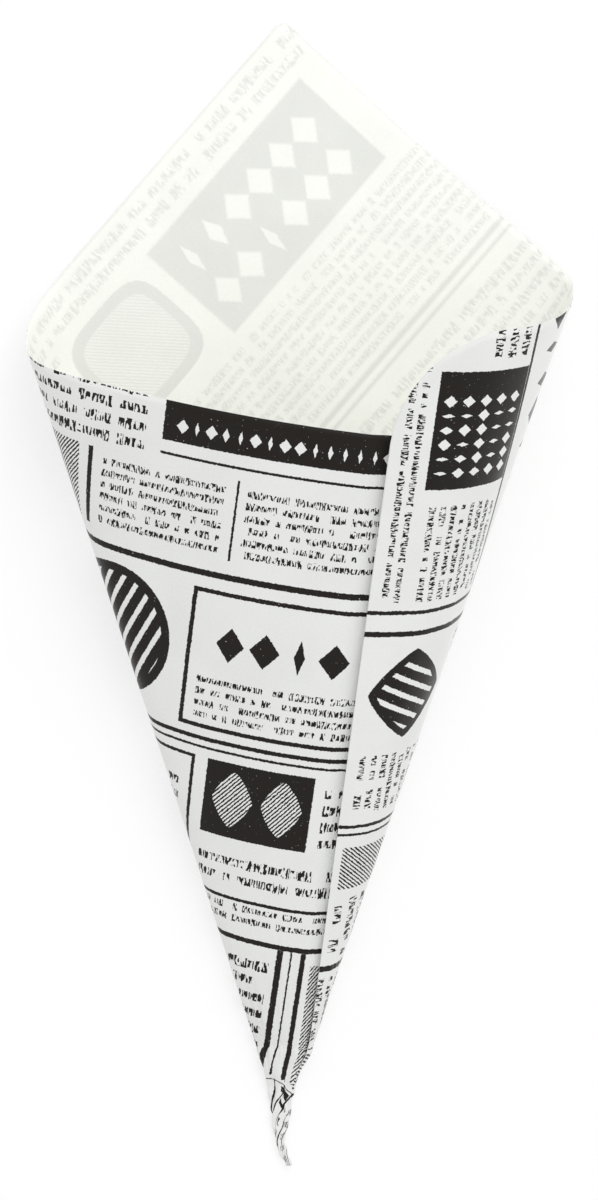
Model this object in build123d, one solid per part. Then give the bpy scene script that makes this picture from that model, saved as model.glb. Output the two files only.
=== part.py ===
from build123d import *
from bisect import bisect_right
from math import atan, atan2, ceil, cos, hypot, pi, radians, sin, sqrt
import os

os.makedirs("parts", exist_ok=True)

# A cone rolled from one rectangular sheet of greaseproof paper, lying on its back.
# Origin: the apex of the roll, on the floor. +Y runs up the back to the peak, +X to the right, +Z up.
# Sheet coordinates are measured from the apex: square to the lip left of the flap, and along that lip.
# The sheet angle is 0 square to that lip. Both ends of the sheet are straight lines from the apex.

# Sheet. The flap's side is longer than the other by the flap's rise, and its edge leans in by the inset.
sheet_short = 161.3
flap_rise = 23.5
flap_inset = 3.4
paper_thickness = 0.2
seam_overlap = 6.2
flap_shoulder = 1.0

# Sheet angle that one turn of the roll takes
turn_angle = radians(89.1)

# Section across the roll, as sizes at this distance from the apex
section_distance = 160.0
section_half_width = 53.5
section_shift = -0.9
side_height = 16.0
left_round = 17.5
right_round = 38.0
arch_lean = 0.416

# Run in which the flap climbs over the inner end of the sheet, as a sheet angle
flap_climb = radians(22)

# Twisted tail, measured along Y from the apex
tail_start = 13.0
tail_beyond = 9.4
tail_plug = 0.6
tail_tip_half_width = 0.5
tail_tip_half_height = 0.4
tail_tip_rise = 0.9
tail_clearance = 0.05
tail_twist = radians(150)
tail_bow = 1.0
tail_hook = 1.5
hook_sharpness = 6
tail_taper = 1.5
tail_stations = 10

# The skin is made in narrow strips, as bends run along a rolled sheet, this many to a quarter turn
strips_per_quarter = 8

# How finely the curves are sampled
section_samples = 400
sample_angle = radians(2.4)
corner_steps = 8
tail_points = 24
straightness = 1e-4

right_angle = pi / 2
sheet_long = sheet_short + flap_rise
peak_angle = atan2(sheet_long, sheet_short)

# Flap's edge, the inner layer right under it, the hidden end, and the flap where it meets that end
flap_lean = atan(flap_inset / sheet_short)
flap_angle = right_angle - flap_lean
seam_angle = flap_angle - turn_angle
hidden_angle = seam_angle - atan(seam_overlap / sheet_short)
lap_angle = hidden_angle + turn_angle

# Round corner of the flap, with its centre at these sheet coordinates
corner_along = sheet_short + flap_shoulder
corner_radius = sheet_long - corner_along
corner_across = (corner_radius + corner_along * sin(flap_lean)) / cos(flap_lean)
corner_angle = atan2(sheet_long, corner_across)

lift = Vector(0, 0, paper_thickness)


def section_at(quarter, rise):
    """Slopes across and up of the section, and its tangent, for a parameter from 0 to 5.

    0-1 right round under the widest point, 1-3 arch from right to left, 3-4 left round, 4-5 flat back.
    """
    half = section_half_width / section_distance
    middle = section_shift / section_distance
    side = side_height / section_distance
    left = left_round / section_distance
    right = right_round / section_distance
    if quarter < 1:
        turn = quarter * right_angle
        point = (middle + half - right + right * sin(turn), side - side * cos(turn))
        return point, (right * cos(turn), side * sin(turn))
    if quarter < 3:
        turn = (quarter - 1) * right_angle
        point = (middle + half * cos(turn), side + rise * sin(turn) * (1 + arch_lean * cos(turn)))
        return point, (-half * sin(turn), rise * (cos(turn) + arch_lean * cos(2 * turn)))
    if quarter < 4:
        turn = (quarter - 3) * right_angle
        point = (middle - half + left - left * cos(turn), side - side * sin(turn))
        return point, (left * sin(turn), -side * cos(turn))
    start = middle - half + left
    end = middle + half - right
    return (start + (end - start) * (quarter - 4), 0.0), (1.0, 0.0)


def roll_line(quarter, rise):
    """Direction of the roll's straight line through a point of the section, and its outward normal."""
    point, tangent = section_at(quarter, rise)
    generator = Vector(point[0], 1, point[1]).normalized()
    return generator, generator.cross(Vector(tangent[0], 0, tangent[1])).normalized()


def roll_table(rise):
    """Angle of sheet taken up to each sample round the section."""
    angles = [0.0]
    previous = roll_line(0, rise)[0]
    for step in range(1, section_samples + 1):
        generator = roll_line(5 * step / section_samples, rise)[0]
        angles.append(angles[-1] + (generator - previous).length)
        previous = generator
    return angles


def bisected(goes_below, low, high):
    """Value between low and high up to which the test holds."""
    for _ in range(50):
        middle = (low + high) / 2
        if goes_below(middle):
            low = middle
        else:
            high = middle
    return middle


# Rise of the arch at which one turn of the section takes exactly one turn of the sheet
arch_rise = bisected(lambda rise: roll_table(rise)[-1] < turn_angle, 0.0, 2.0)
roll_angles = roll_table(arch_rise)


def place_at(quarter):
    """Angle of sheet taken up to a point of the section."""
    return roll_angles[round(quarter * section_samples / 5)]


def place_of_back_centre():
    """Where on the flat back the straight line runs up +Y, to the peak."""
    left_end = section_at(4, arch_rise)[0][0]
    return place_at(4) + atan(-left_end)


def generator_at(sheet_angle):
    """Direction of the roll's straight line at a sheet angle, and its outward normal."""
    place = (place_of_back_centre() + sheet_angle - peak_angle) % turn_angle
    index = min(bisect_right(roll_angles, place), section_samples)
    near = roll_angles[index - 1]
    share = (place - near) / (roll_angles[index] - near)
    return roll_line(5 * (index - 1 + share) / section_samples, arch_rise)


def climb(sheet_angle):
    """Height of the sheet's inner face over the roll: one paper thickness where the flap laps."""
    share = (sheet_angle - lap_angle + flap_climb) / flap_climb
    share = min(max(share, 0.0), 1.0)
    return paper_thickness * share * share * (3 - 2 * share)


def on_sheet(sheet_angle, distance, face):
    """Point on the inner face (0) or outer face (1) of the sheet."""
    generator, normal = generator_at(sheet_angle)
    return generator * distance + normal * (climb(sheet_angle) + face * paper_thickness) + lift


def at_station(sheet_angle, station, height):
    """Point at a height over the roll in the plane Y = station."""
    generator, normal = generator_at(sheet_angle)
    distance = (station - height * normal.Y) / generator.Y
    return generator * distance + normal * height + lift


def lip_distance(sheet_angle):
    """Distance from the apex to the sheet's far edge: long side, short side, then the round corner."""
    if sheet_angle <= peak_angle:
        return sheet_short / cos(sheet_angle)
    if sheet_angle <= corner_angle:
        return sheet_long / sin(sheet_angle)
    reach = corner_across * cos(sheet_angle) + corner_along * sin(sheet_angle)
    tangent = corner_across**2 + corner_along**2 - corner_radius**2
    return reach + sqrt(max(reach**2 - tangent, 0.0))


def lip_point(sheet_angle, face):
    return on_sheet(sheet_angle, lip_distance(sheet_angle), face)


def lap_point(sheet_angle, face):
    """Where the inner layer's lip runs under the flap, on the flap's inner face."""
    return on_sheet(sheet_angle, lip_distance(sheet_angle - turn_angle), face)


def base_point(sheet_angle, face):
    return at_station(sheet_angle, tail_start, climb(sheet_angle) + face * paper_thickness)


def round_corner_angle(turn):
    """Sheet angle on the flap's round corner, for a turn from 0 at the lip to the flap's angle."""
    across = corner_across - corner_radius * sin(turn)
    along = corner_along + corner_radius * cos(turn)
    return atan2(along, across)


def samples(start, end):
    """Sheet angles from start to end, evenly spaced, or by equal turns round the flap's corner.

    The lapped end of the sheet takes the angles of the flap that lies on it.
    """
    if end <= seam_angle + straightness:
        return [angle - turn_angle for angle in samples(start + turn_angle, end + turn_angle)]
    if start < corner_angle:
        count = max(3, ceil((end - start) / sample_angle))
        return [start + (end - start) * step / count for step in range(count + 1)]
    first = bisected(lambda turn: round_corner_angle(turn) < start, 0.0, flap_angle)
    last = bisected(lambda turn: round_corner_angle(turn) < end, 0.0, flap_angle)
    turns = [first + (last - first) * step / corner_steps for step in range(1, corner_steps)]
    return [start] + [round_corner_angle(turn) for turn in turns] + [end]


def stops(start, end):
    """Sheet angles where one face ends and the next begins: at the peak, the corner and the strips' sides."""
    marks = [peak_angle, corner_angle, seam_angle, lap_angle]
    for strip in range(4 * strips_per_quarter + 1):
        place = place_at(strip / strips_per_quarter)
        marks.append((place - place_of_back_centre() + peak_angle) % turn_angle)
    marks += [mark + turn_angle for mark in marks] + [mark - turn_angle for mark in marks]
    inside = sorted(mark for mark in marks if start + straightness < mark < end - straightness)
    return [start] + inside + [end]


def sheet_curve(path, start, end, face):
    """Curve over the sheet: a straight line where the sheet lies flat, else a spline by sheet angle."""
    angles = samples(start, end)
    points = [path(angle, face) for angle in angles]
    run = (points[-1] - points[0]).normalized()
    if max((point - points[0]).cross(run).length for point in points) < straightness:
        return Edge.make_line(points[0], points[-1])
    return Edge.make_spline(points, parameters=[(angle - start) / (end - start) for angle in angles])


def ruled_face(near, far):
    """Face between two curves, a plane where both are straight."""
    if near.geom_type == GeomType.LINE and far.geom_type == GeomType.LINE:
        return Face(Wire.make_polygon([near @ 0, near @ 1, far @ 1, far @ 0], close=True))
    return Face.make_surface_from_curves(near, far)


def sheet_faces(near_path, far_path, start, end, near_face, far_face):
    """Faces between two curves over the sheet, ruled along the straight lines of the roll."""
    marks = stops(start, end)
    faces = []
    for near, far in zip(marks, marks[1:]):
        below = sheet_curve(near_path, near, far, near_face)
        above = sheet_curve(far_path, near, far, far_face)
        faces.append(ruled_face(below, above))
    return faces


def end_face(sheet_angle):
    """Straight cut edge of the sheet along a line of the roll, from the base up to the lip."""
    corners = [
        base_point(sheet_angle, 0),
        lip_point(sheet_angle, 0),
        lip_point(sheet_angle, 1),
        base_point(sheet_angle, 1),
    ]
    return Face(Wire.make_polygon(corners, close=True))


def base_loop(start, end, face):
    """Closed loop round the base on one face of the sheet, closed by the step at the seam."""
    marks = stops(start, end)
    edges = [sheet_curve(base_point, near, far, face) for near, far in zip(marks, marks[1:])]
    edges.append(Edge.make_line(base_point(end, face), base_point(start, face)))
    return Wire(edges)


def rolled_sheet():
    """The sheet, rolled a little over one turn, its two layers glued where they lap."""
    outside = sheet_faces(base_point, lip_point, seam_angle, flap_angle, 1, 1)
    inside = sheet_faces(base_point, lip_point, hidden_angle, lap_angle, 0, 0)
    flap_inside = sheet_faces(lap_point, lip_point, lap_angle, flap_angle, 0, 0)
    cut_edges = sheet_faces(lip_point, lip_point, hidden_angle, flap_angle, 0, 1)
    ends = [end_face(hidden_angle), end_face(flap_angle)]
    base = Face(base_loop(seam_angle, flap_angle, 1), [base_loop(hidden_angle, lap_angle, 0)])
    skin = Face.sew_faces(outside + inside + flap_inside + cut_edges + ends + [base])[0]
    return Solid(Shell(skin))


def plug_loop():
    """Loop in the middle of the paper's thickness, where the twist begins inside the cone's tip.

    Where the flap laps, it comes down through both layers.
    """
    loop = []
    for index in range(tail_points):
        angle = seam_angle + turn_angle * index / tail_points
        lap = max(0.0, (angle - lap_angle) / (flap_angle - lap_angle))
        height = climb(angle) + paper_thickness * (0.5 - lap)
        loop.append(at_station(angle, tail_start + tail_plug, height))
    return loop


def tail_loop(start_loop, share):
    """Loop of the twisted tail: the start loop shrunk to a turned oval on the tail's bowed centre line."""
    centre = sum(start_loop, Vector(0, 0, 0)) * (1 / len(start_loop))
    wide = max(abs(point.X - centre.X) for point in start_loop)
    high = max(abs(point.Z - centre.Z) for point in start_loop)
    left = (1 - share) ** tail_taper
    half_width = tail_tip_half_width + (wide - tail_tip_half_width) * left
    half_height = tail_tip_half_height + (high - tail_tip_half_height) * left * (1 - share)
    turned = tail_twist * share * share
    station = tail_start + tail_plug
    run = station + tail_beyond
    side = centre.X - tail_bow * sin(pi * share) + tail_hook * share**hook_sharpness
    rise = centre.Z + (tail_tip_rise - centre.Z) * share
    loop = []
    for point in start_loop:
        across = (point.X - centre.X) / wide
        up = (point.Z - centre.Z) / high
        rounder = 1 + (1 / hypot(across, up) - 1) * min(1.0, share * 3)
        across = across * rounder * half_width
        up = up * rounder * half_height
        turned_across = across * cos(turned) - up * sin(turned)
        turned_up = across * sin(turned) + up * cos(turned)
        loop.append(Vector(side + turned_across, station - run * share, rise + turned_up))
    sunk = min(point.Z for point in loop) - tail_clearance
    return [point - Vector(0, 0, min(0.0, sunk)) for point in loop]


def twisted_tail():
    """Solid tail of tightly twisted paper that closes the cone."""
    start_loop = plug_loop()
    loops = [start_loop]
    for station in range(1, tail_stations + 1):
        loops.append(tail_loop(start_loop, station / tail_stations))
    rings = [Edge.make_spline(loop, periodic=True) for loop in loops]
    sides = [Face.make_surface_from_curves(near, far) for near, far in zip(rings, rings[1:])]
    ends = [Face(Wire(rings[0])), Face(Wire(rings[-1]))]
    return Solid(Shell(Face.sew_faces(sides + ends)[0]))


paper_cone = rolled_sheet().fuse(twisted_tail())
export_step(paper_cone, "parts/paper_cone.step")
print("paper_cone", paper_cone.is_valid, len(paper_cone.solids()), round(paper_cone.volume, 1), "mm3")
print("arch rise", round(arch_rise * section_distance, 2), "corner radius", round(corner_radius, 2))
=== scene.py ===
from bisect import bisect_right
from math import acos, asin, atan, atan2, ceil, cos, floor, hypot, pi, radians, sin, sqrt, tau

import bpy
from mathutils import Euler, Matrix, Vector, noise


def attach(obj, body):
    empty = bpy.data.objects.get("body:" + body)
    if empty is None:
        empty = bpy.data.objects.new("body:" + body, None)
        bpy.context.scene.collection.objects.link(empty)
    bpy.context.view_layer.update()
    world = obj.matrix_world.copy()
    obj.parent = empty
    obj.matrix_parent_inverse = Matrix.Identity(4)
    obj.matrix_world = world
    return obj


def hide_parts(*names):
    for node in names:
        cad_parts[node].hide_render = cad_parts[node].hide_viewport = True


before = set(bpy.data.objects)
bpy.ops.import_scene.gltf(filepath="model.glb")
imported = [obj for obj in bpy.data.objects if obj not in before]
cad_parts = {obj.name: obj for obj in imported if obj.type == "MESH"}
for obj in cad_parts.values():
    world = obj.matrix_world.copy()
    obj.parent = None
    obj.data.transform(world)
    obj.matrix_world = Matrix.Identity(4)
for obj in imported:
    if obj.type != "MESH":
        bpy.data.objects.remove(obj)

# A paper cone rolled from one printed sheet, lying on its back with its mouth towards +Y.
# The sheet is measured in the flat from the apex of the roll: X square to the lip left of the flap,
# Y along that lip. The sheet angle is 0 on X and grows towards the flap's edge.

bl_info = {
    "name": "Rolled paper cone",
    "version": (1, 0, 0),
    "blender": (4, 5, 0),
    "location": "View3D > Sidebar > Paper cone",
    "description": "Rolls a printed sheet of paper into a cone with a twisted tip",
    "category": "Add Mesh",
}

MM = 0.001
SHEET_UV = "sheet"

# Rows of the mesh, from the tail's tip to the body's start and from there to the lip
TAIL_ROWS = 50
BODY_ROWS = 100
COLUMNS = 300

# How much finer the columns are at both ends of the sheet than in its middle, from 0 to 1
COLUMN_CROWDING = 0.6

# Steps that a search for a distance at the lip, and one for the arch's rise, take
LIP_STEPS = 30
RISE_STEPS = 50

# The flap: sheet angle over which it climbs over the hidden end, width of its lifted edge, and how
# much and how often along it the lift varies
CLIMB_ANGLE = radians(22)
CURL_WIDTH = 9 * MM
CURL_VARIATION = 0.6
CURL_WAVES = 22
# Length over which the valley beside the flap's edge fades towards the tail
VALLEY_FADE = 40 * MM

# Slight dents, as waves round the roll, waves along it and a shift between the patterns
WIDE_DENTS = (1.3, 1.7, 0)
FINE_DENTS = (5, 2.4, 3)
TAIL_PLEATS = (7, 5, 9)
# Their mean depth and the share of each, and the lengths over which they fade
DENT_MEAN = 0.45
WIDE_SHARE = 0.75
FINE_SHARE = 0.22
PLEAT_SHARE = 0.8
DENT_FADE = 90 * MM
PLEAT_FADE = 42 * MM

# Tail stations: height along Y, half width, half height, centre across, centre up, turn in degrees
TAIL = [
    (-9.4, 0.65, 0.4, 1.4, 0.9, 200),
    (-6.3, 0.95, 0.5, 0.1, 1.0, 165),
    (-3.6, 1.0, 0.6, -0.7, 1.0, 130),
    (0.0, 1.85, 0.7, -0.6, 1.0, 85),
    (4.0, 2.65, 0.9, -0.45, 1.2, 34),
    (8.0, 3.3, 1.4, -0.25, 1.6, 3),
    (12.5, 4.15, 2.1, -0.2, 2.2, 0),
]
# How fast the body's ring turns into the tail's oval, and its pleats grow, along the tail
TAIL_BLEND = 4
PLEAT_GROWTH = 2.2
# Pleats round the tail, their depth, and how far they wind round it, in radians
PLEATS = 5
PLEAT_DEPTH = 0.4
PLEAT_TWIST = 3
# Lowest point of the tail's surface above the floor
TAIL_CLEARANCE = 0.06 * MM
# Slanting crease round the tail: its middle and its slant in millimetres, and its lowest place
CREASE_MIDDLE = 9
CREASE_SLANT = 2.4
CREASE_PLACE = radians(40)

# Surface of the paper: its roughness, what ink and fibres add to it, fibre relief, gloss and sheen
PAPER_ROUGHNESS = 0.6
INK_ROUGHNESS = -0.14
FIBRE_ROUGHNESS = 0.12
FIBRE_RELIEF = {"Strength": 0.12, "Distance": 0.1 * MM}
PAPER_GLOSS = {"Specular IOR Level": 0.2, "Sheen Weight": 0.5, "Sheen Roughness": 0.35}
# Width of the print's soft edge on the printed side and seen from behind, in millimetres
PRINT_SOFTNESS = 0.1
THROUGH_SOFTNESS = 0.9

# Stage: key light, share of plain white in the floor that the camera sees, colours and near clip
KEY_PLACE = (0.25, 1.05, 1.05)
KEY_TARGET = (0, 0.12, 0)
KEY_SIZE = 1.2
FLOOR_WHITE = 0.7
FLOOR_COLOUR = (0.97, 0.97, 0.97, 1.0)
WHITE = (1.0, 1.0, 1.0, 1.0)
NEAR_CLIP = 0.01


def linear(red, green, blue):
    """Scene colour of an sRGB colour from 0 to 255."""
    values = []
    for value in (red, green, blue):
        share = value / 255
        values.append(share / 12.92 if share <= 0.04045 else ((share + 0.055) / 1.055) ** 2.4)
    return tuple(values)


class PaperSettings(bpy.types.PropertyGroup):
    sheet_short: bpy.props.FloatProperty(
        name="Short side", description="Apex to the lip left of the flap",
        default=161.3 * MM, unit="LENGTH"
    )
    sheet_long: bpy.props.FloatProperty(
        name="Long side", description="Apex to the top of the flap",
        default=185.1 * MM, unit="LENGTH"
    )
    flap_inset: bpy.props.FloatProperty(
        name="Flap inset", description="Flap's edge from the line through the apex",
        default=3.4 * MM, unit="LENGTH"
    )
    hidden_margin: bpy.props.FloatProperty(
        name="Hidden margin", description="Paper past the apex under the flap",
        default=7 * MM, unit="LENGTH"
    )
    flap_corner: bpy.props.FloatProperty(
        name="Flap corner", description="Radius of the flap's round corner",
        default=25.5 * MM, unit="LENGTH"
    )
    thickness: bpy.props.FloatProperty(
        name="Thickness", description="Paper thickness", default=0.1 * MM, unit="LENGTH"
    )
    solid_thickness: bpy.props.FloatProperty(
        name="Solid thickness", description="Paper thickness in the solid part",
        default=0.2 * MM, unit="LENGTH"
    )
    turn: bpy.props.FloatProperty(
        name="Turn", description="Sheet angle that one turn takes",
        default=radians(89.1), subtype="ANGLE"
    )
    section_distance: bpy.props.FloatProperty(
        name="Section distance", description="Where the section is measured",
        default=160 * MM, unit="LENGTH"
    )
    half_width: bpy.props.FloatProperty(
        name="Half width", description="Half the section's width", default=53.5 * MM, unit="LENGTH"
    )
    shift: bpy.props.FloatProperty(
        name="Shift", description="Section's centre across", default=-0.9 * MM, unit="LENGTH"
    )
    side_height: bpy.props.FloatProperty(
        name="Side height", description="Height of the widest points",
        default=16 * MM, unit="LENGTH"
    )
    left_round: bpy.props.FloatProperty(
        name="Left round", description="Width of the left round", default=17.5 * MM, unit="LENGTH"
    )
    right_round: bpy.props.FloatProperty(
        name="Right round", description="Width of the right round", default=38 * MM, unit="LENGTH"
    )
    arch_lean: bpy.props.FloatProperty(
        name="Arch lean", description="How far the arch leans to the right", default=0.416
    )
    body_start: bpy.props.FloatProperty(
        name="Body start", description="Distance from the apex where the twist begins",
        default=19 * MM, unit="LENGTH"
    )
    flap_gap: bpy.props.FloatProperty(
        name="Flap gap", description="Air between the flap and the paper under it",
        default=0.15 * MM, unit="LENGTH"
    )
    edge_lift: bpy.props.FloatProperty(
        name="Edge lift", description="How far the flap's edge stands off",
        default=0.5 * MM, unit="LENGTH"
    )
    seam_depth: bpy.props.FloatProperty(
        name="Seam depth", description="Depth of the valley along the flap's edge",
        default=0.8 * MM, unit="LENGTH"
    )
    seam_width: bpy.props.FloatProperty(
        name="Seam width", description="Width of the valley beside the flap's edge",
        default=4.2 * MM, unit="LENGTH"
    )
    waviness: bpy.props.FloatProperty(
        name="Waviness", description="Depth of the paper's slight dents",
        default=0.7 * MM, unit="LENGTH"
    )
    printed_colour: bpy.props.FloatVectorProperty(
        name="Printed side", description="Colour of the paper outside",
        default=linear(231, 232, 230), subtype="COLOR"
    )
    # The plain side's colour is the paper's own ivory, set lighter than the printed side as painted
    # light: it stands in for the light that comes through the paper into the cone.
    plain_colour_with_painted_light: bpy.props.FloatVectorProperty(
        name="Plain side", description="Colour of the paper inside",
        default=linear(245, 246, 240), subtype="COLOR"
    )
    ink_colour: bpy.props.FloatVectorProperty(
        name="Ink", description="Colour of the print", default=linear(20, 14, 9), subtype="COLOR"
    )
    through_colour: bpy.props.FloatVectorProperty(
        name="Ink from behind", description="Colour of print seen through paper",
        default=linear(227, 228, 223),
        subtype="COLOR",
    )


class StageSettings(bpy.types.PropertyGroup):
    camera_across: bpy.props.FloatProperty(
        name="Camera across", description="Camera from the apex along its own right",
        default=3.79 * MM, unit="LENGTH"
    )
    camera_along: bpy.props.FloatProperty(
        name="Camera along", description="Camera from the apex along its own up",
        default=117.2 * MM, unit="LENGTH"
    )
    camera_away: bpy.props.FloatProperty(
        name="Camera away", description="Camera from the apex along its view",
        default=710 * MM, unit="LENGTH"
    )
    camera_pitch: bpy.props.FloatProperty(
        name="Camera pitch", description="Tilt towards the tip", default=0.0434, subtype="ANGLE"
    )
    camera_yaw: bpy.props.FloatProperty(
        name="Camera yaw", description="Swing to the left of the cone",
        default=0.1839, subtype="ANGLE"
    )
    view_height: bpy.props.FloatProperty(
        name="View height", description="Vertical angle of view", default=0.3743, subtype="ANGLE"
    )
    key_power: bpy.props.FloatProperty(
        name="Key power", description="Power of the key light", default=8.2
    )
    sky_strength: bpy.props.FloatProperty(
        name="Sky strength", description="Strength of the sky", default=0.82
    )
    floor_side: bpy.props.FloatProperty(
        name="Floor side", description="Side of the floor", default=6.0, unit="LENGTH"
    )


def bisected(goes_below, low, high, steps):
    """Value between low and high up to which the test holds."""
    for _ in range(steps):
        middle = (low + high) / 2
        if goes_below(middle):
            low = middle
        else:
            high = middle
    return middle


def smooth(value):
    """Smooth step from 0 to 1 for a value that is held between them."""
    value = min(max(value, 0.0), 1.0)
    return value * value * (3 - 2 * value)


class Roll:
    """The sheet's roll: straight lines from the apex through the points of a section."""

    # Parts of the section: right round, two quarters of the arch, left round and flat back
    parts = 5
    samples = 600

    def __init__(self, paper):
        self.paper = paper
        self.peak_angle = atan2(paper.sheet_long, paper.sheet_short)
        self.rise = bisected(lambda rise: self.table(rise)[-1] < paper.turn, 0.0, 2.0, RISE_STEPS)
        self.angles = self.table(self.rise)
        left_end = self.section(4, self.rise)[0][0]
        self.back_centre = self.angles[self.samples * 4 // self.parts] + atan(-left_end)
        self.corner_across = paper.flap_inset + paper.flap_corner
        self.corner_along = paper.sheet_long - paper.flap_corner
        self.corner_angle = atan2(paper.sheet_long, self.corner_across)

    def section(self, quarter, rise):
        """Slopes across and up of the section, and its tangent, for a parameter from 0 to 5."""
        paper = self.paper
        half = paper.half_width / paper.section_distance
        middle = paper.shift / paper.section_distance
        side = paper.side_height / paper.section_distance
        left = paper.left_round / paper.section_distance
        right = paper.right_round / paper.section_distance
        if quarter < 1:
            turn = quarter * pi / 2
            point = (middle + half - right + right * sin(turn), side - side * cos(turn))
            return point, (right * cos(turn), side * sin(turn))
        if quarter < 3:
            turn = (quarter - 1) * pi / 2
            leaned = 1 + paper.arch_lean * cos(turn)
            point = (middle + half * cos(turn), side + rise * sin(turn) * leaned)
            return point, (-half * sin(turn), rise * (cos(turn) + paper.arch_lean * cos(2 * turn)))
        if quarter < 4:
            turn = (quarter - 3) * pi / 2
            point = (middle - half + left - left * cos(turn), side - side * sin(turn))
            return point, (left * sin(turn), -side * cos(turn))
        start = middle - half + left
        end = middle + half - right
        return (start + (end - start) * (quarter - 4), 0.0), (1.0, 0.0)

    def line(self, quarter, rise):
        """Direction of the straight line through a point of the section, and its outward normal."""
        point, tangent = self.section(quarter, rise)
        generator = Vector((point[0], 1, point[1])).normalized()
        return generator, generator.cross(Vector((tangent[0], 0, tangent[1]))).normalized()

    def table(self, rise):
        """Sheet angle taken up to each sample round the section."""
        angles = [0.0]
        previous = self.line(0, rise)[0]
        for step in range(1, self.samples + 1):
            generator = self.line(self.parts * step / self.samples, rise)[0]
            angles.append(angles[-1] + (generator - previous).length)
            previous = generator
        return angles

    def place(self, sheet_angle):
        """Share of the turn, from 0 to 1, where a sheet angle lies."""
        turned = self.back_centre + sheet_angle - self.peak_angle
        return (turned % self.paper.turn) / self.paper.turn

    def generator(self, sheet_angle):
        """Direction of the sheet's straight line at a sheet angle, and its outward normal."""
        place = self.place(sheet_angle) * self.paper.turn
        index = min(bisect_right(self.angles, place), self.samples)
        near = self.angles[index - 1]
        share = (place - near) / (self.angles[index] - near)
        return self.line(self.parts * (index - 1 + share) / self.samples, self.rise)

    def ends(self, distance):
        """Sheet angles of the hidden end and of the flap's edge at a distance from the apex."""
        return -asin(self.paper.hidden_margin / distance), acos(self.paper.flap_inset / distance)

    def lip(self, sheet_angle):
        """Distance from the apex to the lip: short side, long side, then the flap's corner."""
        if sheet_angle <= self.peak_angle:
            return self.paper.sheet_short / cos(sheet_angle)
        if sheet_angle <= self.corner_angle:
            return self.paper.sheet_long / sin(sheet_angle)
        reach = self.corner_across * cos(sheet_angle) + self.corner_along * sin(sheet_angle)
        tangent = self.corner_across**2 + self.corner_along**2 - self.paper.flap_corner**2
        return reach + sqrt(max(reach**2 - tangent, 0.0))

    def lip_of_column(self, column):
        """Distance at which a column of the mesh meets the lip."""
        distance = self.paper.sheet_short
        for _ in range(LIP_STEPS):
            hidden, edge = self.ends(distance)
            distance = (distance + self.lip(hidden + (edge - hidden) * column)) / 2
        return distance

    def lift(self, sheet_angle, distance):
        """Height of the paper's middle over the roll: the flap climbs over the hidden end."""
        paper = self.paper
        hidden, edge = self.ends(distance)
        lap = hidden + paper.turn
        climb = smooth((sheet_angle - lap + CLIMB_ANGLE) / CLIMB_ANGLE)
        to_edge = (edge - sheet_angle) * distance
        uneven = 1 + CURL_VARIATION * noise.noise(Vector((distance * CURL_WAVES, 3, 0)))
        curl = smooth(1 - to_edge / CURL_WIDTH) * uneven
        layer = paper.solid_thickness * 0.5
        return layer + climb * (paper.thickness + paper.flap_gap) + curl * paper.edge_lift

    def dent(self, sheet_angle, distance):
        """Depth of the slight dents along the roll, the same in both layers of the seam."""
        around = tau * self.place(sheet_angle)
        along = distance / self.paper.sheet_long
        wide, fine, pleat = [
            noise.noise(Vector((waves * cos(around), waves * sin(around), shift + length * along)))
            for waves, length, shift in (WIDE_DENTS, FINE_DENTS, TAIL_PLEATS)
        ]
        near_tail = smooth(1 - (distance - self.paper.body_start) / PLEAT_FADE)
        depth = self.paper.waviness * (DENT_MEAN - WIDE_SHARE * wide - FINE_SHARE * fine)
        depth *= smooth(distance / DENT_FADE)
        return max(depth, 0.0) + PLEAT_SHARE * self.paper.waviness * near_tail * abs(pleat)

    def valley(self, sheet_angle, distance):
        """Depth of the lower layer's valley along the flap's edge, which fades out on all sides."""
        hidden, edge = self.ends(distance)
        beside = (sheet_angle - edge + self.paper.turn) * distance
        under = (sheet_angle - hidden) / (edge - self.paper.turn - hidden)
        across = smooth(1 - beside / self.paper.seam_width) * smooth(under)
        along = smooth((distance - self.paper.body_start) / VALLEY_FADE)
        return self.paper.seam_depth * across * along

    def body_point(self, sheet_angle, distance):
        """Point of the rolled sheet's middle layer."""
        generator, normal = self.generator(sheet_angle)
        height = self.lift(sheet_angle, distance) - self.dent(sheet_angle, distance)
        height -= self.valley(sheet_angle, distance)
        return generator * distance + normal * height + Vector((0, 0, self.paper.solid_thickness))


def tail_at(along):
    """Tail's half width, half height, centre across, centre up and turn at a height along Y."""
    index = 1
    while index < len(TAIL) - 1 and TAIL[index][0] < along:
        index += 1
    low, high = TAIL[index - 1], TAIL[index]
    share = smooth((along - low[0]) / (high[0] - low[0]))
    return [a + (b - a) * share for a, b in zip(low[1:], high[1:])]


def tail_point(start, centre, size, share, around):
    """Point of the twisted tail for a share from 0 at the body to 1 at the tip."""
    tip = TAIL[0][0]
    along = start.y + (tip * MM - start.y) * share
    wide, high, across, up, turn = tail_at(along / MM)
    x, z = (start.x - centre.x) / size[0], (start.z - centre.z) / size[1]
    radius = hypot(x, z)
    blend = smooth(share * TAIL_BLEND)
    rounder = 1 + (1 / radius - 1) * blend
    wave = 0.5 + 0.5 * cos(PLEATS * around + PLEAT_TWIST * share)
    ripple = 1 - PLEAT_DEPTH * smooth(share * PLEAT_GROWTH) * wave
    x, z = x * rounder * ripple, z * rounder * ripple
    wide = (1 - blend) * size[0] + blend * wide * MM
    high = (1 - blend) * size[1] + blend * high * MM
    turned = radians(turn)
    twisted = (x * cos(turned) - z * sin(turned), x * sin(turned) + z * cos(turned))
    middle_x = centre.x + (across * MM - centre.x) * blend
    middle_z = centre.z + (up * MM - centre.z) * blend
    z = max(middle_z + twisted[1] * high, TAIL_CLEARANCE)
    return Vector((middle_x + twisted[0] * wide, along, z))


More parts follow.
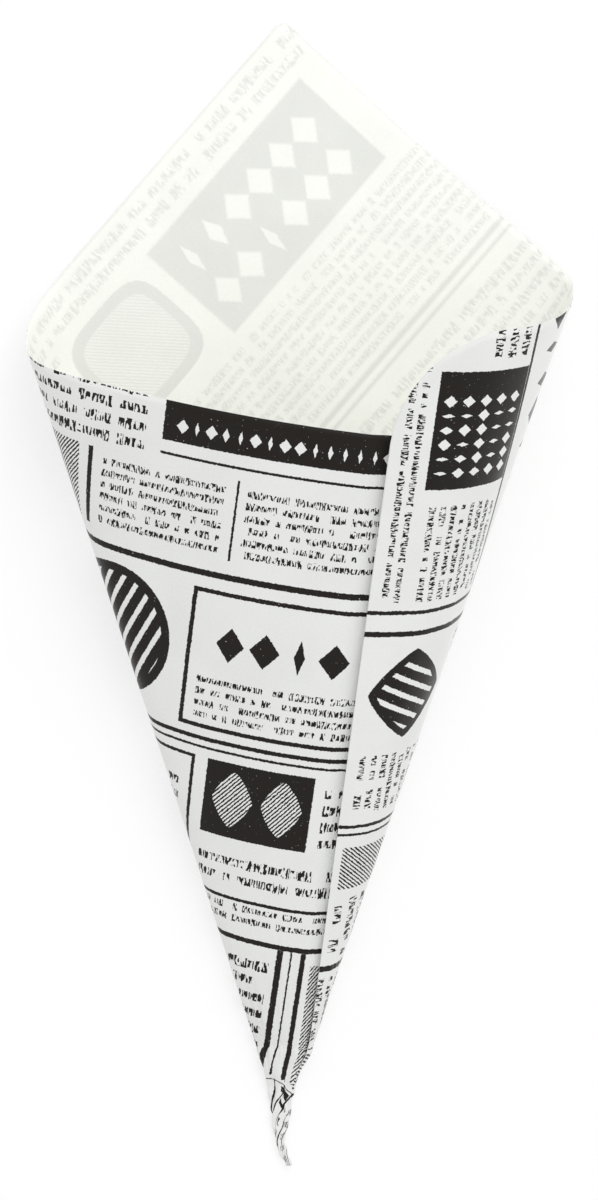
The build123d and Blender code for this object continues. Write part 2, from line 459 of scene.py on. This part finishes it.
def tail_print_end(around):
    """Distance along the tail, round it, of the slanting crease where its own print ends."""
    return (CREASE_MIDDLE - CREASE_SLANT * cos(around - CREASE_PLACE)) * MM


def deselect():
    """Leaves edit mode and selects nothing, because an operator acts on all that is selected."""
    if bpy.context.object and bpy.context.object.mode != "OBJECT":
        bpy.ops.object.mode_set(mode="OBJECT")
    bpy.ops.object.select_all(action="DESELECT")


def place_sheet(mesh, roll):
    """Moves the grid's vertices to the rolled sheet, and keeps the flat sheet as its UV map."""
    paper = roll.paper
    start_ends = roll.ends(paper.body_start)
    shares = [index / COLUMNS for index in range(COLUMNS + 1)]
    columns = [share - COLUMN_CROWDING * sin(tau * share) / tau for share in shares]
    lips = [roll.lip_of_column(column) for column in columns]
    starts = [start_ends[0] + (start_ends[1] - start_ends[0]) * column for column in columns]
    ring = [roll.body_point(angle, paper.body_start) for angle in starts]
    low = Vector([min(point[axis] for point in ring) for axis in range(3)])
    high = Vector([max(point[axis] for point in ring) for axis in range(3)])
    centre = (low + high) / 2
    size = ((high.x - low.x) / 2, (high.z - low.z) / 2)
    places = []
    for vertex in mesh.vertices:
        row, index = divmod(vertex.index, COLUMNS + 1)
        if row < TAIL_ROWS:
            share = 1 - row / TAIL_ROWS
            around = tau * roll.place(starts[index])
            vertex.co = tail_point(ring[index], centre, size, share, around)
            places.append((starts[index], vertex.co.y, around))
        else:
            share = (row - TAIL_ROWS) / BODY_ROWS
            distance = paper.body_start + (lips[index] - paper.body_start) * share
            hidden, edge = roll.ends(distance)
            angle = hidden + (edge - hidden) * columns[index]
            vertex.co = roll.body_point(angle, distance)
            places.append((angle, distance, 0.0))
    layer = mesh.uv_layers.new(name=SHEET_UV)
    for face in mesh.polygons:
        angle, distance, around = places[face.vertices[0]]
        in_tail = distance < tail_print_end(around)
        for loop in face.loop_indices:
            angle, distance, around = places[mesh.loops[loop].vertex_index]
            if in_tail:
                past_crease = distance - tail_print_end(around)
                flat = (past_crease, TAIL_PAGE * MM + angle * paper.body_start)
            else:
                flat = (distance * cos(angle), distance * sin(angle))
            layer.data[loop].uv = flat


def socket(tree, name, kind, value=None, out=False):
    """Adds a socket to a group's inputs, or to its outputs."""
    item = tree.interface.new_socket(
        name=name, in_out="OUTPUT" if out else "INPUT", socket_type="NodeSocket" + kind
    )
    if value is not None:
        item.default_value = value


def node(tree, kind, inputs=None, **settings):
    """New node, its settings, and for each input a value or the output that feeds it."""
    made = tree.nodes.new(kind)
    for name, value in settings.items():
        setattr(made, name, value)
    feed(tree, made, inputs or {})
    return made


def feed(tree, made, inputs):
    """Sets each input of a node to a value, or links it to the output that feeds it."""
    for key, value in inputs.items():
        if isinstance(value, bpy.types.NodeSocket):
            tree.links.new(value, made.inputs[key])
        else:
            made.inputs[key].default_value = value


def maths(tree, operation, *values):
    """Output of a Math node."""
    inputs = dict(enumerate(values))
    return node(tree, "ShaderNodeMath", inputs, operation=operation).outputs[0]


def vector_maths(tree, operation, inputs):
    """Output of a Vector Math node."""
    return node(tree, "ShaderNodeVectorMath", inputs, operation=operation).outputs[0]


def ramp(tree, value, low, high, start=0.0, end=1.0):
    """Smooth ramp of a value between two limits."""
    keys = {"Value": value, "From Min": low, "From Max": high, "To Min": start, "To Max": end}
    return node(tree, "ShaderNodeMapRange", keys, interpolation_type="SMOOTHSTEP").outputs["Result"]


def new_group(name):
    """New shader group, with its input and output nodes."""
    tree = bpy.data.node_groups.new(name, "ShaderNodeTree")
    return tree, tree.nodes.new("NodeGroupInput"), tree.nodes.new("NodeGroupOutput")


def difference(tree, first, second):
    """First value less the second."""
    return maths(tree, "SUBTRACT", first, second)


def distance_from(tree, value, centre):
    """How far a value is off a centre, either way."""
    return maths(tree, "ABSOLUTE", difference(tree, value, centre))


def box_distance(tree, given):
    """Distance inside a box from its edge, in the group's own units, negative outside."""
    across = difference(tree, given["Half X"], distance_from(tree, given["X"], given["Centre X"]))
    along = difference(tree, given["Half Y"], distance_from(tree, given["Y"], given["Centre Y"]))
    return maths(tree, "MINIMUM", across, along)


def edge_mask(tree, distance, softness):
    """1 inside and 0 outside, with a ramp as wide as the softness."""
    low = maths(tree, "MULTIPLY", softness, -0.5)
    high = maths(tree, "MULTIPLY", softness, 0.5)
    return ramp(tree, distance, low, high)


def page_part(name, **inputs):
    """Group that makes a mask from a point of the page, in millimetres."""
    tree, given, out = new_group(name)
    for label, value in {"X": 0.0, "Y": 0.0, "Softness": 0.05, **inputs}.items():
        socket(tree, label.replace("_", " "), "Float", value)
    socket(tree, "Mask", "Float", out=True)
    return tree, given.outputs, out.inputs


def shape_group(name, **inputs):
    """Group that makes a shape on the page from its centre and half size."""
    return page_part(name, Centre_X=0.0, Centre_Y=0.0, Half_X=1.0, Half_Y=1.0, **inputs)


def box_group():
    """Rectangle, an outline where its line is narrower than the rectangle."""
    tree, given, out = shape_group("Print box", Line=500.0)
    distance = box_distance(tree, given)
    filled = edge_mask(tree, distance, given["Softness"])
    hollow = edge_mask(tree, difference(tree, distance, given["Line"]), given["Softness"])
    tree.links.new(difference(tree, filled, hollow), out["Mask"])
    return tree


def disc_group():
    """Oval, or a lozenge where its power is near 1."""
    tree, given, out = shape_group("Print disc", Power=2.0)
    sizes = []
    for axis in "XY":
        off = distance_from(tree, given[axis], given[f"Centre {axis}"])
        share = maths(tree, "DIVIDE", off, given[f"Half {axis}"])
        sizes.append(maths(tree, "POWER", share, given["Power"]))
    inside = difference(tree, 1.0, maths(tree, "ADD", *sizes))
    distance = maths(tree, "MULTIPLY", maths(tree, "MULTIPLY", inside, 0.5), given["Half X"])
    tree.links.new(edge_mask(tree, distance, given["Softness"]), out["Mask"])
    return tree


def stripe_group():
    """Even stripes over the whole page, at a slope."""
    tree, given, out = page_part("Print stripes", Spacing=1.0, Share=0.5, Slope=0.0)
    leaned = maths(tree, "MULTIPLY_ADD", given["X"], given["Slope"], given["Y"])
    step = maths(tree, "FRACT", maths(tree, "DIVIDE", leaned, given["Spacing"]))
    half = maths(tree, "MULTIPLY", given["Share"], 0.5)
    within = difference(tree, half, distance_from(tree, step, 0.5))
    inside = maths(tree, "MULTIPLY", within, given["Spacing"])
    tree.links.new(edge_mask(tree, inside, given["Softness"]), out["Mask"])
    return tree


def cells_of(tree, given, share):
    """Rows and cells of a page part: their counts, whole counts, and how far off each middle."""
    rows = maths(tree, "DIVIDE", given["X"], given["Pitch"])
    cells = maths(tree, "DIVIDE", maths(tree, "DIVIDE", given["Y"], given["Pitch"]), share)
    row, cell = maths(tree, "FLOOR", rows), maths(tree, "FLOOR", cells)
    off_row = distance_from(tree, maths(tree, "FRACT", rows), 0.5)
    off_cell = distance_from(tree, maths(tree, "FRACT", cells), 0.5)
    return rows, cells, row, cell, off_row, off_cell


def random_value(tree, key, dimensions):
    """White noise of a cell's key."""
    inputs = {"Vector": key.outputs[0]}
    return node(tree, "ShaderNodeTexWhiteNoise", inputs, noise_dimensions=dimensions)


def line_group():
    """Rows of small blots in groups, over the whole page and along its Y."""
    tree, given, out = page_part("Print lines", Pitch=3.0, Height=0.5, Weight=0.5)
    rows, cells, row, cell, off_row, off_cell = cells_of(tree, given, LINE_CELL)
    key = node(tree, "ShaderNodeCombineXYZ", {0: row, 1: cell, 2: given["Pitch"]})
    chance = random_value(tree, key, "3D")
    colour = node(tree, "ShaderNodeSeparateColor", {0: chance.outputs["Color"]})
    # Half heights of low and tall blots, and half a blot's length, as shares of the row and cell
    low_blot, tall_blot, cell_half = 0.38, 0.52, 0.44
    tall = ramp(tree, colour.outputs[1], 0.6, 0.7, low_blot, tall_blot)
    tall = maths(tree, "MULTIPLY", tall, given["Height"])
    in_row = maths(tree, "MULTIPLY", difference(tree, tall, off_row), given["Pitch"])
    between = maths(tree, "MULTIPLY", difference(tree, cell_half, off_cell), given["Pitch"])
    inside = maths(tree, "MINIMUM", in_row, maths(tree, "MULTIPLY", between, LINE_CELL))
    across_scale, row_shift, along_scale = 2.2, 9.7, 2.9
    shifted = maths(tree, "MULTIPLY", row, row_shift)
    blot_rows = maths(tree, "MULTIPLY_ADD", rows, across_scale, shifted)
    blot_cells = maths(tree, "MULTIPLY", cells, along_scale)
    blots = node(tree, "ShaderNodeCombineXYZ", {0: blot_rows, 1: blot_cells, 2: row})
    plain_noise = {"Vector": blots.outputs[0], "Scale": 1.0, "Detail": 0.0}
    blot = node(tree, "ShaderNodeTexNoise", plain_noise)
    solid = difference(tree, blot.outputs["Fac"], difference(tree, 1.0, given["Weight"]))
    inside = maths(tree, "MINIMUM", inside, maths(tree, "MULTIPLY", solid, given["Pitch"]))
    empty_share = 0.15
    filled = maths(tree, "GREATER_THAN", colour.outputs[2], empty_share)
    ink = maths(tree, "MULTIPLY", edge_mask(tree, inside, given["Softness"]), filled)
    tree.links.new(ink, out["Mask"])
    return tree


def ornament_group():
    """Rows of lozenges of uneven width, over the whole page and along its Y."""
    tree, given, out = page_part("Print ornaments", Pitch=5.0, Height=0.7, Weight=0.4)
    rows, cells, row, cell, off_row, off_cell = cells_of(tree, given, ORNAMENT_CELL)
    key = node(tree, "ShaderNodeCombineXYZ", {0: row, 1: cell})
    chance = random_value(tree, key, "2D")
    narrow, full = 0.35, 1.0
    wide = ramp(tree, chance.outputs["Value"], 0.3, 0.7, narrow, full)
    up = maths(tree, "DIVIDE", off_row, maths(tree, "MULTIPLY", given["Height"], 0.5))
    across = maths(tree, "DIVIDE", off_cell, maths(tree, "MULTIPLY", given["Weight"], wide))
    inside = difference(tree, 1.0, maths(tree, "ADD", up, across))
    inside = maths(tree, "MULTIPLY", inside, maths(tree, "MULTIPLY", given["Pitch"], 0.25))
    tree.links.new(edge_mask(tree, inside, given["Softness"]), out["Mask"])
    return tree


# Rows that fill shapes: pitch in millimetres, height and weight
LINES = {"small": (2.7, 0.6, 0.53), "medium": (3.9, 0.62, 0.53)}
ORNAMENTS = {"beads": (4.4, 0.7, 0.42), "lozenges": (10.5, 0.76, 0.46)}
# Lengths of their cells along the rows, as shares of the pitch
LINE_CELL = 0.42
ORNAMENT_CELL = 0.72
# Stripes that fill shapes: spacing in millimetres, inked share and slope
STRIPES = {"hatch": (0.9, 0.5, 0.8), "bars": (3.6, 0.34, 0.45), "creases": (4.2, 0.16, 0.25)}

# Where the tail's own stretch of print and painted crease shade starts along the page's Y, in
# millimetres, clear of the rest
TAIL_PAGE = -120

# Page layout in millimetres of the flat sheet: fill, shape, corner, opposite corner, and for some a
# box's line or a disc's power. A fill after a minus sign is taken out of the ink below it.
PAGE = [
    ("solid", "box", (152.6, -8), (170, 47)),
    ("-beads", "box", (154, -6), (159, 44)),
    ("medium", "box", (149, 51), (170, 96)),
    ("solid", "box", (149.4, -8), (150, 47)),
    ("small", "box", (128, -6), (147, 27)),
    ("solid", "box", (129, 29), (147, 29.5)),
    ("small", "box", (128, 32), (147, 60)),
    ("solid", "box", (129, 62.5), (147, 63.6)),
    ("hatch", "box", (129, 66), (147, 90)),
    ("solid", "box", (124.6, -8), (126, 98)),
    ("solid", "box", (90, -10), (122, 36), 1.0),
    ("lozenges", "box", (105, -6), (117, 32)),
    ("small", "box", (92.5, -4), (103.5, 33)),
    ("solid", "disc", (91, 40), (122, 70), 2.0),
    ("-bars", "disc", (93, 42), (120, 68), 2.0),
    ("small", "box", (94, 73), (122, 84)),
    ("solid", "box", (87.2, -8), (88.2, 78)),
    ("solid", "box", (85.4, -8), (86, 78)),
    ("solid", "box", (66, 4), (83.5, 28)),
    ("-hatch", "disc", (68.5, 6), (81.5, 15), 1.3),
    ("-hatch", "disc", (68.5, 17), (81.5, 26), 1.3),
    ("medium", "box", (66, -8), (83.5, 2)),
    ("medium", "box", (54, -7), (64, 29)),
    ("solid", "box", (51.4, -8), (52.2, 29)),
    ("small", "box", (44.5, -6), (51, 29)),
    ("solid", "box", (45, 31), (83.5, 62), 0.8),
    ("medium", "box", (71, 34), (80, 59)),
    ("hatch", "disc", (48, 34), (69, 46), 3.0),
    ("small", "box", (48, 48), (69, 59)),
    ("solid", "box", (42, -8), (43.2, 46)),
    ("solid", "box", (-1, 0.4), (42, 1.5)),
    ("solid", "box", (8, 3.4), (42, 3.8)),
    ("solid", "box", (3, 5.4), (42, 6.8)),
    ("medium", "box", (16, 8.6), (41, 19)),
    ("hatch", "box", (9, -8), (39, -1)),
    ("small", "box", (22, 21), (41, 34)),
    ("solid", "box", (-8, 122), (37, 210), 0.9),
    ("small", "box", (4, 125), (11, 200)),
    ("solid", "box", (12.4, 150), (36, 176)),
    ("-beads", "box", (13, 153), (36, 173)),
    ("small", "box", (12, 125), (35, 147)),
    ("medium", "box", (22, 178), (36, 200)),
    ("lozenges", "box", (39, 120), (64, 200)),
    ("medium", "box", (66, 122), (90, 188)),
    ("solid", "box", (3, 117), (92, 118.2)),
    ("solid", "disc", (6, 93), (27, 114), 1.25),
    ("-bars", "disc", (8, 95), (25, 112), 1.25),
    ("medium", "box", (29, 76), (54, 115)),
    ("solid", "box", (56, 70), (56.8, 117)),
    ("small", "box", (59, 76), (80, 115)),
    ("small", "box", (5, 76), (27, 90)),
    ("solid", "box", (3, 72.6), (56, 73.4)),
    ("solid", "box", (3, 70.8), (56, 71.4)),
    ("hatch", "box", (5, 58), (20, 68)),
    ("small", "box", (22, 42), (34, 69)),
    ("medium", "box", (4, 41), (21, 56)),
    ("solid", "box", (3, 38), (30, 39.4)),
    ("small", "box", (2, 20), (18.4, 36)),
    ("solid", "box", (2, 17.6), (12, 18.6)),
    ("hatch", "box", (1, 8), (6, 16)),
    ("solid", "box", (95, 92), (96.2, 190)),
    ("solid", "box", (92.8, 92), (93.6, 190)),
    ("small", "box", (98, 94), (121, 190)),
    ("solid", "box", (124, 126), (150, 178)),
    ("-lozenges", "box", (126, 129), (147, 175)),
    ("solid", "disc", (126, 96), (150, 122), 4.0),
    ("-hatch", "disc", (128.5, 98.5), (147.5, 119.5), 4.0),
    ("medium", "box", (151, 78), (162, 190)),
    ("small", "box", (98, 74), (121, 90)),
    ("creases", "box", (-30, TAIL_PAGE - 10), (-0.5, TAIL_PAGE + 50)),
    # Painted shadow: a thin solid line just past the tail's crease stands in for the fold's shadow,
    # and the two solid wedges at the crease's right end are painted shade there.
    ("solid", "box", (-0.85, TAIL_PAGE - 10), (-0.62, TAIL_PAGE + 50)),
    ("solid", "box", (-2.6, TAIL_PAGE - 3), (-1.3, TAIL_PAGE + 2)),
    ("solid", "box", (-4.6, TAIL_PAGE - 3), (-3.6, TAIL_PAGE + 0.5)),
    ("small", "box", (-30, TAIL_PAGE + 17), (-2, TAIL_PAGE + 27)),
]


def placed(tree, group, inputs):
    """Node of a group, with a value or a feeding output for each of its inputs."""
    made = node(tree, "ShaderNodeGroup", node_tree=group)
    feed(tree, made, inputs)
    return made


def fitted(low, high, step):
    """Limits moved to whole steps, so that no row or blot is cut, by up to a share outwards."""
    share = 0.3
    return ceil(low / step - share) * step, floor(high / step + share) * step


def page_group():
    """The whole page: ink from 0 to 1 at a point of the flat sheet, with the painted shade at the
    tail's crease drawn as ink too.
    """
    tree, given, out = new_group("Printed page")
    socket(tree, "Vector", "Vector")
    socket(tree, "Softness", "Float", 0.08)
    socket(tree, "Ink", "Float", out=True)
    point = node(tree, "ShaderNodeSeparateXYZ", {0: given.outputs["Vector"]}).outputs
    shared = {"X": point["X"], "Y": point["Y"], "Softness": given.outputs["Softness"]}
    shapes = {"box": (box_group(), "Line"), "disc": (disc_group(), "Power")}
    rows, stripes = ("Pitch", "Height", "Weight"), ("Spacing", "Share", "Slope")
    fills = {}
    for group, labels, patterns in (
        (line_group(), rows, LINES),
        (ornament_group(), rows, ORNAMENTS),
        (stripe_group(), stripes, STRIPES),
    ):
        for name, values in patterns.items():
            fills[name] = placed(tree, group, {**shared, **dict(zip(labels, values))})
    ink = 0.0
    for fill, shape, corner, opposite, *extra in PAGE:
        name = fill.strip("-")
        sides = list(zip(corner, opposite))
        for patterns, cell in ((LINES, LINE_CELL), (ORNAMENTS, ORNAMENT_CELL)):
            if name in patterns:
                pitch = patterns[name][0]
                sides = [fitted(*side, step) for side, step in zip(sides, (pitch, pitch * cell))]
        group, label = shapes[shape]
        values = {**shared, **{label: value for value in extra}}
        for axis, (low, high) in zip("XY", sides):
            values[f"Centre {axis}"] = (low + high) / 2
            values[f"Half {axis}"] = (high - low) / 2
        mask = placed(tree, group, values).outputs["Mask"]
        if name != "solid":
            mask = maths(tree, "MULTIPLY", mask, fills[name].outputs["Mask"])
        if fill.startswith("-"):
            ink = maths(tree, "MULTIPLY", ink, difference(tree, 1.0, mask))
        else:
            ink = maths(tree, "MAXIMUM", ink, mask)
    tree.links.new(ink, out.inputs["Ink"])
    return tree


def mottle_group():
    """Unevenness of paper and print.

    Factor is a tint round 1, Fibre a fine height, Blurred the page's point moved a little as ink
    spreads, Cover the ink's pinholes and Specks stray ink.
    """
    tree, given, out = new_group("Paper mottle")
    socket(tree, "Vector", "Vector")
    for name in ("Factor", "Fibre", "Blurred", "Cover", "Specks"):
        socket(tree, name, "Vector" if name == "Blurred" else "Float", out=True)
    vector = given.outputs["Vector"]
    cloudy = {"Vector": vector, "Scale": 0.07, "Detail": 3.0}
    fibrous = {"Vector": vector, "Scale": 1.7, "Detail": 3.0, "Roughness": 0.6}
    broad = node(tree, "ShaderNodeTexNoise", cloudy)
    fine = node(tree, "ShaderNodeTexNoise", fibrous)
    cloud = ramp(tree, broad.outputs["Fac"], 0.25, 0.75, 0.975, 1.015)
    speck = ramp(tree, fine.outputs["Fac"], 0.3, 0.7, 0.98, 1.012)
    spread = 0.55
    away = vector_maths(tree, "SUBTRACT", {0: fine.outputs["Color"], 1: (0.5, 0.5, 0.5)})
    away = vector_maths(tree, "SCALE", {0: away, "Scale": spread})
    moved = vector_maths(tree, "ADD", {0: vector, 1: away})
    masks = {
        "Factor": maths(tree, "MULTIPLY", cloud, speck),
        "Fibre": fine.outputs["Fac"],
        "Blurred": moved,
        "Cover": ramp(tree, fine.outputs["Fac"], 0.24, 0.33),
        "Specks": ramp(tree, fine.outputs["Fac"], 0.75, 0.79),
    }
    feed(tree, out, masks)
    return tree


def page_vector(tree):
    """The flat sheet's coordinates in millimetres, from the piece's own UV map."""
    flat = node(tree, "ShaderNodeUVMap", uv_map=SHEET_UV)
    scale = (1 / MM, 1 / MM, 1.0)
    return vector_maths(tree, "MULTIPLY", {0: flat.outputs[0], 1: scale})


def paper_material(name, page, mottle, paper_colour, ink_colour, softness):
    """Paper with ink on it, or ink that shows through it."""
    material = bpy.data.materials.new(name)
    material.use_nodes = True
    tree = material.node_tree
    shader = tree.nodes["Principled BSDF"]
    vector = page_vector(tree)
    uneven = placed(tree, mottle, {"Vector": vector})
    printed = placed(tree, page, {"Vector": uneven.outputs["Blurred"], "Softness": softness})
    ink = maths(tree, "MULTIPLY", printed.outputs["Ink"], uneven.outputs["Cover"])
    ink = maths(tree, "MAXIMUM", ink, uneven.outputs["Specks"])
    mixed = mix_colour(tree, {"Factor": ink, "A": (*paper_colour, 1.0), "B": (*ink_colour, 1.0)})
    shade = {"Factor": 1.0, "A": mixed, "B": grey(tree, uneven.outputs["Factor"])}
    colour = mix_colour(tree, shade, "MULTIPLY")
    rough = maths(tree, "MULTIPLY_ADD", ink, INK_ROUGHNESS, PAPER_ROUGHNESS)
    rough = maths(tree, "MULTIPLY_ADD", uneven.outputs["Fibre"], FIBRE_ROUGHNESS, rough)
    bump = node(tree, "ShaderNodeBump", {**FIBRE_RELIEF, "Height": uneven.outputs["Fibre"]})
    feed(tree, shader, {"Base Color": colour, "Roughness": rough, "Normal": bump.outputs[0]})
    feed(tree, shader, PAPER_GLOSS)
    return material


def grey(tree, value):
    """Grey of one value in all three channels."""
    return node(tree, "ShaderNodeCombineColor", {0: value, 1: value, 2: value}).outputs[0]


def mix_colour(tree, values, blend="MIX"):
    """Mix of two colours. Each kind of data has its own sockets, and these are the colours'."""
    places = {"Factor": 0, "A": 6, "B": 7}
    inputs = {places[name]: value for name, value in values.items()}
    mixed = node(tree, "ShaderNodeMix", inputs, data_type="RGBA", blend_type=blend)
    return mixed.outputs[2]


class PAPERCONE_OT_roll_sheet(bpy.types.Operator):
    """Rolls the printed sheet into the cone and twists its tip"""

    bl_idname = "papercone.roll_sheet"
    bl_label = "Roll sheet"

    def execute(self, context):
        paper = context.scene.papercone_paper
        deselect()
        bpy.ops.mesh.primitive_grid_add(
            x_subdivisions=COLUMNS, y_subdivisions=TAIL_ROWS + BODY_ROWS, size=1, calc_uvs=False
        )
        piece = context.object
        piece.name = "rolled_paper"
        place_sheet(piece.data, Roll(paper))
        page, mottle = page_group(), mottle_group()
        for name, colour, ink, softness in (
            ("Printed side", paper.printed_colour, paper.ink_colour, PRINT_SOFTNESS),
            # The plain side's colour holds painted light, for the light that comes through the
            # paper.
            ("Plain side", paper.plain_colour_with_painted_light, paper.through_colour, THROUGH_SOFTNESS),
        ):
            piece.data.materials.append(paper_material(name, page, mottle, colour, ink, softness))
        bpy.ops.object.mode_set(mode="EDIT")
        bpy.ops.mesh.select_all(action="SELECT")
        bpy.ops.mesh.faces_shade_smooth()
        bpy.ops.object.mode_set(mode="OBJECT")
        outwards(piece.data)
        thick = piece.modifiers.new("Paper thickness", "SOLIDIFY")
        thick.thickness = paper.thickness
        thick.offset = 0
        thick.material_offset = 1
        thick.material_offset_rim = 1
        bpy.ops.object.modifier_apply(modifier=thick.name)
        piece.data.validate()
        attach(piece, "root")
        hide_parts("paper_cone")
        deselect()
        return {"FINISHED"}


def outwards(mesh):
    """Turns the faces so that the printed side looks out of the cone."""
    middle = mesh.polygons[(TAIL_ROWS + BODY_ROWS // 2) * COLUMNS + COLUMNS // 2]
    inner_height = 20 * MM
    if middle.normal.dot(middle.center - Vector((0, middle.center.y, inner_height))) < 0:
        mesh.flip_normals()


def add_light(name, location, target, size, power):
    """Soft round light that looks at its target."""
    data = bpy.data.lights.new(name, "AREA")
    data.shape = "DISK"
    data.size = size
    data.energy = power
    light = bpy.data.objects.new(name, data)
    bpy.context.collection.objects.link(light)
    light.location = location
    light.rotation_euler = (Vector(target) - Vector(location)).to_track_quat("-Z", "Y").to_euler()


def seen_ray(tree):
    """1 for a ray that the camera sees straight, in a reflection or through glass."""
    path = node(tree, "ShaderNodeLightPath")
    seen = maths(tree, "MAXIMUM", path.outputs["Is Camera Ray"], path.outputs["Is Glossy Ray"])
    return maths(tree, "MAXIMUM", seen, path.outputs["Is Transmission Ray"])


def floor_material():
    """Pale floor that the camera sees nearly white, with the object's shadow kept."""
    material = bpy.data.materials.new("Pale floor")
    material.use_nodes = True
    tree = material.node_tree
    shader = tree.nodes["Principled BSDF"]
    feed(tree, shader, {"Base Color": FLOOR_COLOUR, "Roughness": 1.0, "Specular IOR Level": 0.0})
    white = node(tree, "ShaderNodeEmission", {"Color": WHITE, "Strength": 1.0})
    share = maths(tree, "MULTIPLY", seen_ray(tree), FLOOR_WHITE)
    mixed = node(tree, "ShaderNodeMixShader", {0: share, 1: shader.outputs[0], 2: white.outputs[0]})
    tree.links.new(mixed.outputs[0], tree.nodes["Material Output"].inputs["Surface"])
    return material


class PAPERCONE_OT_stage(bpy.types.Operator):
    """Adds the floor, the soft light and the camera"""

    bl_idname = "papercone.stage"
    bl_label = "Stage"

    def execute(self, context):
        stage = context.scene.papercone_stage
        deselect()
        bpy.ops.mesh.primitive_plane_add(size=stage.floor_side)
        floor = context.object
        floor.name = "floor"
        floor.data.materials.append(floor_material())
        world = bpy.data.worlds.new("Soft sky")
        world.use_nodes = True
        tree = world.node_tree
        sky = stage.sky_strength
        strength = maths(tree, "MULTIPLY_ADD", seen_ray(tree), 1 - sky, sky)
        feed(tree, tree.nodes["Background"], {"Color": WHITE, "Strength": strength})
        context.scene.world = world
        add_light("Key", KEY_PLACE, KEY_TARGET, KEY_SIZE, stage.key_power)
        turn = Euler((-stage.camera_pitch, -stage.camera_yaw, 0), "ZXY")
        camera_data = bpy.data.cameras.new("Camera")
        camera = bpy.data.objects.new("Camera", camera_data)
        context.collection.objects.link(camera)
        camera.rotation_mode = "ZXY"
        camera.rotation_euler = turn
        offset = Vector((stage.camera_across, stage.camera_along, stage.camera_away))
        camera.location = turn.to_matrix() @ offset
        camera_data.sensor_fit = "VERTICAL"
        camera_data.angle = stage.view_height
        camera_data.clip_start = NEAR_CLIP
        context.scene.camera = camera
        context.scene.view_settings.view_transform = "Standard"
        deselect()
        return {"FINISHED"}


class PAPERCONE_PT_panel(bpy.types.Panel):
    """Lists the paper's and the stage's settings, with a button for each step"""

    bl_label = "Paper cone"
    bl_idname = "PAPERCONE_PT_panel"
    bl_space_type = "VIEW_3D"
    bl_region_type = "UI"
    bl_category = "Paper cone"

    def draw(self, context):
        layout = self.layout
        for settings in (context.scene.papercone_paper, context.scene.papercone_stage):
            for name in settings.bl_rna.properties.keys():
                if name not in ("rna_type", "name"):
                    layout.prop(settings, name)
        layout.operator(PAPERCONE_OT_roll_sheet.bl_idname)
        layout.operator(PAPERCONE_OT_stage.bl_idname)


CLASSES = (
    PaperSettings,
    StageSettings,
    PAPERCONE_OT_roll_sheet,
    PAPERCONE_OT_stage,
    PAPERCONE_PT_panel,
)


def register():
    """Registers the classes and hangs their settings on the scene."""
    for kind in CLASSES:
        bpy.utils.register_class(kind)
    bpy.types.Scene.papercone_paper = bpy.props.PointerProperty(type=PaperSettings)
    bpy.types.Scene.papercone_stage = bpy.props.PointerProperty(type=StageSettings)


def unregister():
    """Takes the settings and the classes away again."""
    del bpy.types.Scene.papercone_paper
    del bpy.types.Scene.papercone_stage
    for kind in reversed(CLASSES):
        bpy.utils.unregister_class(kind)


def main():
    """Builds the cone and its stage."""
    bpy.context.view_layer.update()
    register()
    bpy.ops.papercone.roll_sheet()
    bpy.ops.papercone.stage()


if __name__ == "__main__":
    main()
